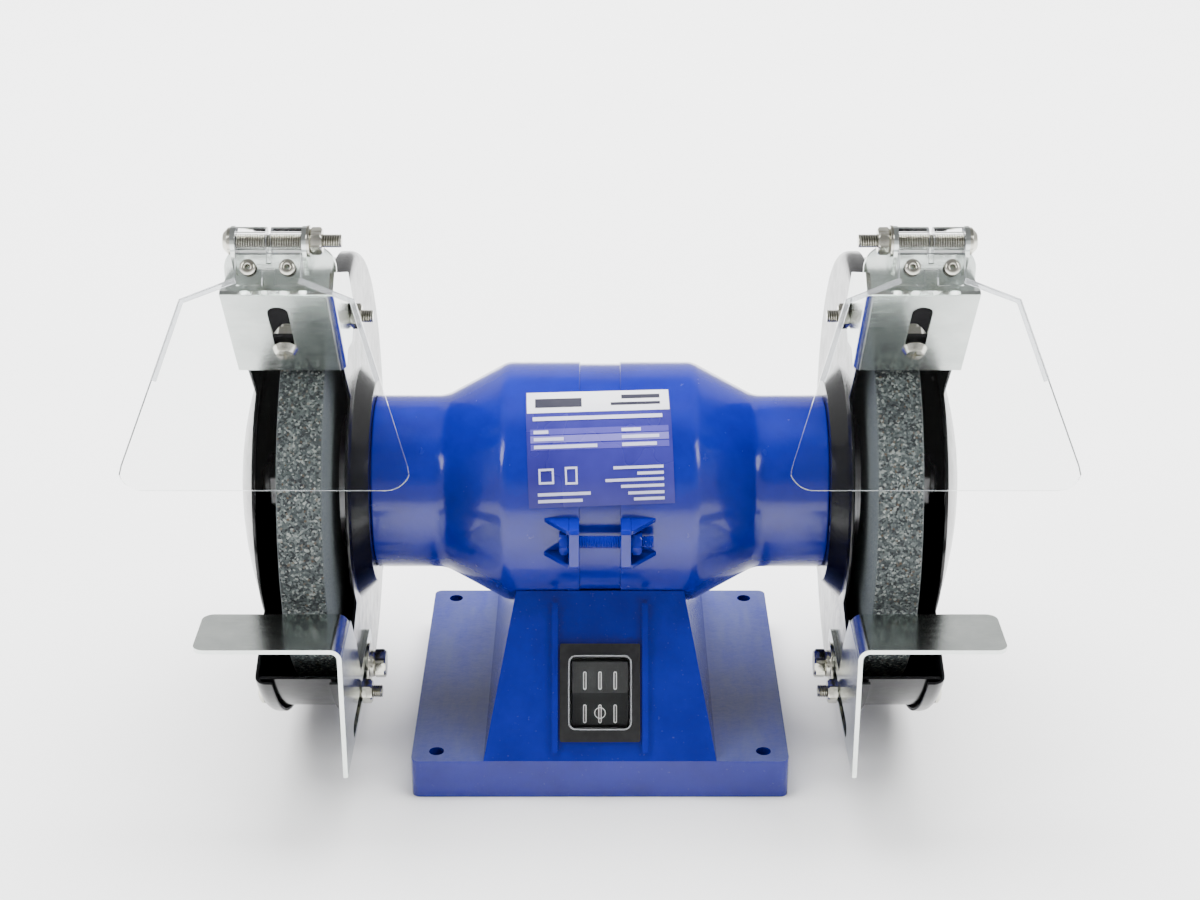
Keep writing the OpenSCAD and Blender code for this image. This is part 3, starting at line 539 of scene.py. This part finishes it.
def patch(name, x0, x1, p0, p1, lift, mat):
    """Foil bent round the motor, between two distances along X in mm and two angles up from the front."""
    nx, na = max(2, int((x1 - x0) / 3)), max(2, int((p1 - p0) / 2) + 1)
    vs, fs = [], []
    for layer in (0, 1):
        r = MOTOR_R * MM + lift + (FOIL_T if layer else 0)
        for i in range(nx + 1):
            for j in range(na + 1):
                x = x0 + (x1 - x0) * i / nx
                p = math.radians(p0 + (p1 - p0) * j / na + x * LABEL_TURN * LABEL_LEAN)
                turned = (x - (p - LABEL_MIDDLE) * MOTOR_R * LABEL_TURN) * MM
                vs.append((turned, -r * math.cos(p), H + r * math.sin(p)))

    def at(i, j, k):
        return (k * (nx + 1) + i) * (na + 1) + j

    for i in range(nx):
        for j in range(na):
            for k in (0, 1):
                fs.append([at(i, j, k), at(i + 1, j, k), at(i + 1, j + 1, k), at(i, j + 1, k)])
    for i in range(nx):
        for j in (0, na):
            fs.append([at(i, j, 0), at(i + 1, j, 0), at(i + 1, j, 1), at(i, j, 1)])
    for j in range(na):
        for i in (0, nx):
            fs.append([at(i, j, 0), at(i, j + 1, 0), at(i, j + 1, 1), at(i, j, 1)])
    return make(name, vs, fs, mat, "frame", "label", 40)


foil = patch("label_foil", -26.4, 26.2, 13.2, 71.0, 0.00016, ink_violet)
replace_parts(foil, "rating_label")
patch("label_header", -26.0, 25.8, 58.3, 70.6, 0.00026, ink_white)
# Three lighter bands behind rows of print, lightest in the middle: a painted highlight across the curved label
patch("label_highlight_band_0", -25.0, 25.0, 39.5, 42.4, 0.00024, ink_highlight_lilac)
patch("label_highlight_band_1", -25.0, 25.0, 43.0, 46.4, 0.00024, ink_highlight_light)
patch("label_highlight_band_2", -25.0, 25.0, 46.9, 49.8, 0.00024, ink_highlight_lilac)
BAR_LIFT = 0.00036
for i, (x0, x1, p0, p1, ink) in enumerate((
        (-23.0, -6.0, 61.2, 66.4, ink_dark), (8.5, 22.5, 65.4, 67.8, ink_dark),
        (4.5, 22.5, 61.6, 63.2, ink_dark), (-24.0, 23.0, 54.0, 56.0, ink_pale),
        (-23.8, -18.5, 47.4, 49.0, ink_pale), (8.0, 15.0, 47.4, 49.0, ink_pale),
        (-23.8, -13.0, 43.9, 45.5, ink_pale), (8.0, 21.5, 43.9, 45.5, ink_pale),
        (-23.8, -1.0, 40.2, 41.8, ink_pale), (8.0, 20.5, 40.2, 41.8, ink_pale),
        (4.5, 22.5, 29.6, 30.9, ink_pale), (13.0, 22.5, 26.8, 28.1, ink_pale),
        (1.5, 22.5, 24.0, 25.3, ink_pale), (7.0, 22.5, 21.1, 22.4, ink_pale),
        (9.5, 22.5, 18.0, 19.3, ink_pale), (11.5, 22.5, 15.2, 16.5, ink_pale),
        (-23.0, -4.0, 18.6, 20.0, ink_pale), (-23.0, -7.0, 15.5, 16.9, ink_pale))):
    patch(f"label_bar_{i}", x0, x1, p0, p1, BAR_LIFT, ink)
for i, (x0, x1, p0, p1) in enumerate(((-22.5, -17.0, 24.0, 31.0), (-13.0, -8.5, 23.5, 31.5))):
    for j, edge in enumerate(((x0, x1, p0, p0 + 1.0), (x0, x1, p1 - 1.0, p1), (x0, x0 + 0.7, p0, p1),
                              (x1 - 0.7, x1, p0, p1))):
        patch(f"label_box_{i}_{j}", *edge, BAR_LIFT, ink_pale)


# ---------------------------------------------------------------- switch
to_slope = Matrix.Translation((0, -0.0675, 0.0153)) @ Matrix.Rotation(SLOPE, 4, "X")
pivot = Vector((0, SWITCH_CENTRE, -0.0015))


def ring_of(outer, inner, lift, height):
    """A flat frame between two outlines with the same number of points, in a plane."""
    n = len(outer)
    vs = [(x, y, lift) for x, y in outer] + [(x, y, lift) for x, y in inner]
    vs += [(x, y, lift + height) for x, y in outer] + [(x, y, lift + height) for x, y in inner]
    fs = []
    for i in range(n):
        j = (i + 1) % n
        fs += [[i, j, n + j, n + i], [2 * n + i, 2 * n + j, 3 * n + j, 3 * n + i],
               [i, j, 2 * n + j, 2 * n + i], [n + i, n + j, 3 * n + j, 3 * n + i]]
    return vs, fs


def stadium(w, h, cx, cy, n=10, r=None):
    """A rounded rectangle, or with no radius given one with half-round ends."""
    pts = []
    r = r or min(w, h) / 2
    for k, (sx, sy) in enumerate(((1, 1), (-1, 1), (-1, -1), (1, -1))):
        for i in range(n + 1):
            a = math.pi / 2 * (k + i / n)
            pts.append((cx + sx * (w / 2 - r) + r * math.cos(a), cy + sy * (h / 2 - r) + r * math.sin(a)))
    return pts


def rocker_place(part, tilt, lift):
    """Lies on one of the rocker's two faces: tilt is that face's angle, and lift its height at the crease."""
    m = to_slope @ Matrix.Translation(pivot + Vector((0, 0, lift))) @ Matrix.Rotation(tilt, 4, "X")
    return place(part, m)


UPPER_FACE = math.atan2(2.8, 11.3)
CREASE = 0.0012                                 # height of the rocker's crease above its pivot
MARK_W, MARK_H, MARK_LINE = 1.25 * MM, 6.8 * MM, 0.7 * MM
INK_T = 0.00012
marks = []
for cx in (-5.6, 0.0, 5.6):
    for tilt, cy in ((UPPER_FACE, 4.6), (0.0, -7.7)):
        part = ring_of(stadium(MARK_W, MARK_H, cx * MM, cy * MM),
                       stadium(MARK_W - MARK_LINE, MARK_H - MARK_LINE, cx * MM, cy * MM), 0.00002, INK_T)
        marks.append(rocker_place(part, tilt, CREASE))
part = ring_of(stadium(4.2 * MM, 4.2 * MM, 0, -7.4 * MM), stadium(3.6 * MM, 3.6 * MM, 0, -7.4 * MM),
               0.00003, 0.00015)
marks.append(rocker_place(part, 0.0, CREASE))
make("rocker_marks", *join(marks), legend, "rocker", "black_plastic", 40)
# A pale ring round the boot's top edge: a painted highlight of its rounded edge
part = ring_of(stadium(23.2 * MM, 27.2 * MM, 0, 0, r=2.9 * MM),
               stadium(22.3 * MM, 26.3 * MM, 0, 0, r=2.5 * MM), BOOT_TOP, INK_T)
make("boot_highlight_ring", *place(part, to_slope @ Matrix.Translation((0, SWITCH_CENTRE, 0))), rim_and_highlight_plastic, "frame",
     "clear_plastic", 40)

# ---------------------------------------------------------------- fasteners with threads
COVER_HEAD = [(0.0, 126.4), (3.0, 126.2), (4.5, 124.9), (4.5, 124.0), (0.0, 124.0)]
HINGE_HEAD = [(0.0, 124.5), (2.6, 124.4), (4.5, 122.6), (4.6, 121.5), (0.0, 121.5)]
THREAD_START = (0.0805, 0.0845, 0.0805)         # where each cover screw's thread begins along X
NUT_SEAT = (0.0884, 0.09, 0.0882)               # and the face that its nut lies against
screw_axes = [(-SCREW_R * math.cos(math.radians(a)), H + SCREW_R * math.sin(math.radians(a))) for a in SCREWS]


def turned_head(line, radii, s, y, z, seg):
    """A screw's head from a line of (radius, x) in mm."""
    return lathe([(r * MM, s * x * MM) for r, x in fillet(line, radii, 5)], y, z, seg)


for side_name, s in SIDES:
    parts, nuts = [], []
    for i, ((y, z), start, seat) in enumerate(zip(screw_axes, THREAD_START, NUT_SEAT)):
        parts.append(thread(start, 0.1236, y, z, 0.00245, 0.0008, s=s))
        parts.append(turned_head(COVER_HEAD, [0, 2.5, 0.5, 0, 0], s, y, z, 40))
        nuts.append(hexagon(seat - 0.004, seat - 0.0001, y, z, NUT_AF, NUT_BORE, 0.3 + i, s=s))
    screws = make(f"cover_screws_{side_name}", *join(parts), fastener, "frame", "fastener", extra=[groove_shade])
    darken_roots(screws, screw_axes, 0.00218, 0.0807, 0.1236)
    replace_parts(screws, "cover_screws")
    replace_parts(make(f"cover_nuts_{side_name}", *join(nuts), fastener, "frame", "fastener"), "cover_nuts")

    rest = [thread(0.0856, 0.0949, *REST_BOLT, 0.00295, 0.001, s=s),
            hexagon(0.0811, 0.0856, *REST_BOLT, 0.0099, 0.0, 0.35, s=s)]
    bolt = make(f"rest_bolt_{side_name}", *join(rest), fastener, "frame", "fastener", extra=[groove_shade])
    darken_roots(bolt, [REST_BOLT], 0.0026, 0.0858, 0.0948)
    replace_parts(bolt, "rest_bolts")

    # The hinge's bolt: a pan head outside, and thread all the way through the clear knuckles
    bolt = [thread(0.0852, 0.1216, HINGE.y, HINGE.z, 0.0024, 0.0008, s=s),
            turned_head(HINGE_HEAD, [0, 2.0, 0.6, 0, 0], s, HINGE.y, HINGE.z, 48)]
    bolt = make(f"hinge_thread_{side_name}", *join(bolt), fastener, f"bracket_{side_name}", "fastener",
                extra=[groove_shade])
    darken_roots(bolt, [(HINGE.y, HINGE.z)], 0.00213, 0.0854, 0.1214)
    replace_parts(bolt, f"hinge_bolt_{side_name}")
    nut = hexagon(0.0915, 0.0955, HINGE.y, HINGE.z, NUT_AF, NUT_BORE, 0.15, s=s)
    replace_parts(make(f"hinge_hex_{side_name}", *nut, fastener, f"bracket_{side_name}", "fastener"),
                f"hinge_nut_{side_name}")

# ---------------------------------------------------------------- eye shields' rims and rivets
SHIELD_X = 109                                  # middle of a shield, in mm
RIVET_DOWN = 9.5                                # the rivets' distance below the hinge's axis
RIVET_X = 6.5                                   # and from the shield's middle


def on_shield(s, x, down, out):
    """A point of the left or right shield: across, down from the hinge, and out in front of its axis (mm)."""
    return Vector((s * (SHIELD_X + x) * MM, 0, 0)) + HINGE + DOWN * (down * MM) + FRONT * (out * MM)


def bead(s, x, profile, seg=40):
    """Turns a line of (radius, height) about a rivet's axis, square to the shield."""
    vs, fs = [], []
    n = len(profile)
    for i in range(seg):
        a = 2 * math.pi * i / seg
        for r, h in profile:
            vs.append(on_shield(s, x + r * math.cos(a), RIVET_DOWN + r * math.sin(a), h))
    for i in range(seg):
        j = (i + 1) % seg
        for k in range(n):
            m = (k + 1) % n
            fs.append([i * n + k, i * n + m, j * n + m, j * n + k])
    return vs, fs


RIM = [(10.8, 13.2), (28.7, 20.3), (37.35, 47.0)]
RIM_W = 1.9
RIM_OUT = (4.2, 4.95)                           # its back and front, out from the hinge's axis
RIVET = [(0.8, 4.5), (1.0, 4.85), (1.45, 4.95), (2.0, 4.85), (2.5, 4.55), (2.7, 4.25), (1.4, 4.25),
         (1.4, -0.85), (2.6, -0.85), (2.4, -1.2), (1.7, -1.5), (1.1, -1.45), (0.8, -1.2)]


def rim_strip(s, m):
    """The raised rim along one half of a shield's outline; m is the half's sign."""
    inner = []
    for i, (x, d) in enumerate(RIM):
        before = Vector(RIM[i]) - Vector(RIM[max(i - 1, 0)])
        after = Vector(RIM[min(i + 1, len(RIM) - 1)]) - Vector(RIM[i])
        t = (before.normalized() if before.length else after.normalized()) + (
            after.normalized() if after.length else before.normalized())
        t.normalize()
        inner.append((x - t.y * RIM_W, d + t.x * RIM_W))
    n = len(RIM)
    vs = [on_shield(s, m * x, d, out) for out in RIM_OUT for x, d in [*RIM, *inner]]
    fs = []
    for i in range(n - 1):
        for k in (0, 2 * n):
            fs.append([k + i, k + i + 1, k + n + i + 1, k + n + i])
        for k in (0, n):
            fs.append([k + i, k + i + 1, k + 2 * n + i + 1, k + 2 * n + i])
    for i in (0, n - 1):
        fs.append([i, n + i, 3 * n + i, 2 * n + i])
    return vs, fs


for side_name, s in SIDES:
    rivets = join([bead(s, x, RIVET) for x in (-RIVET_X, RIVET_X)])
    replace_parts(make(f"eyelets_{side_name}_rolled", *rivets, fastener, f"shield_{side_name}", "fastener", 50),
                f"eyelets_{side_name}")
    rim = make(f"shield_rim_{side_name}", *join([rim_strip(s, m) for m in (-1, 1)]), rim_and_highlight_plastic,
               f"shield_{side_name}", "clear_plastic", 30)
    b = rim.modifiers.new("edge", "BEVEL")
    b.width, b.segments, b.limit_method = 0.2 * MM, 2, "ANGLE"

# ---------------------------------------------------------------- floor and light
floor_mat = Mat("floor")
floor_mat.colour(floor_mat.ramp(floor_mat.noise(6, 2), (0.3, 0.94), (0.7, 0.96)))
floor_mat.rough(0.9)
FLOOR = 6
me = bpy.data.meshes.new("floor")
corners = [(x * FLOOR, y * FLOOR, 0) for x, y in ((-1, -1), (1, -1), (1, 1), (-1, 1))]
me.from_pydata(corners, [], [[0, 1, 2, 3]])
floor = bpy.data.objects.new("floor", me)
bpy.context.scene.collection.objects.link(floor)
floor.location.z = -0.0002                      # just under the feet
me.materials.append(floor_mat.m)

world = bpy.data.worlds.new("studio")
bpy.context.scene.world = world
world.use_nodes = True
# A white surround low down, higher at the back than at the front, and darker overhead
wt = world.node_tree
across = wt.nodes.new("ShaderNodeSeparateXYZ")
sky = wt.nodes.new("ShaderNodeValToRGB")
wt.links.new(wt.nodes.new("ShaderNodeTexCoord").outputs["Generated"], across.inputs[0])
height = wt.nodes.new("ShaderNodeMath")
height.operation = "MULTIPLY_ADD"
height.inputs[1].default_value = -0.15          # lifts the white part at the back
wt.links.new(across.outputs["Y"], height.inputs[0])
wt.links.new(across.outputs["Z"], height.inputs[2])
wt.links.new(height.outputs[0], sky.inputs["Fac"])
wt.links.new(sky.outputs["Color"], wt.nodes["Background"].inputs["Color"])
for stop, (at, level) in zip(sky.color_ramp.elements, ((0.42, 0.95), (0.58, 0.3))):
    stop.position, stop.color = at, (level, level, level, 1)


def area(name, loc, target, size, power):
    d = bpy.data.lights.new(name, "AREA")
    d.shape, d.size, d.size_y, d.energy = "RECTANGLE", size[0], size[1], power
    o = bpy.data.objects.new(name, d)
    bpy.context.scene.collection.objects.link(o)
    o.location = loc
    o.rotation_euler = (Vector(target) - Vector(loc)).to_track_quat("-Z", "Y").to_euler()
    return o


for side_name, s in SIDES:
    area(f"key_{side_name}", (s * 0.95, -0.75, 1.15), (0, 0, 0.1), (0.35, 0.6), 7)
area("ceiling", (0, 1.2, 2.5), (0, 1.2, 0), (4.0, 3.2), 500).visible_glossy = False
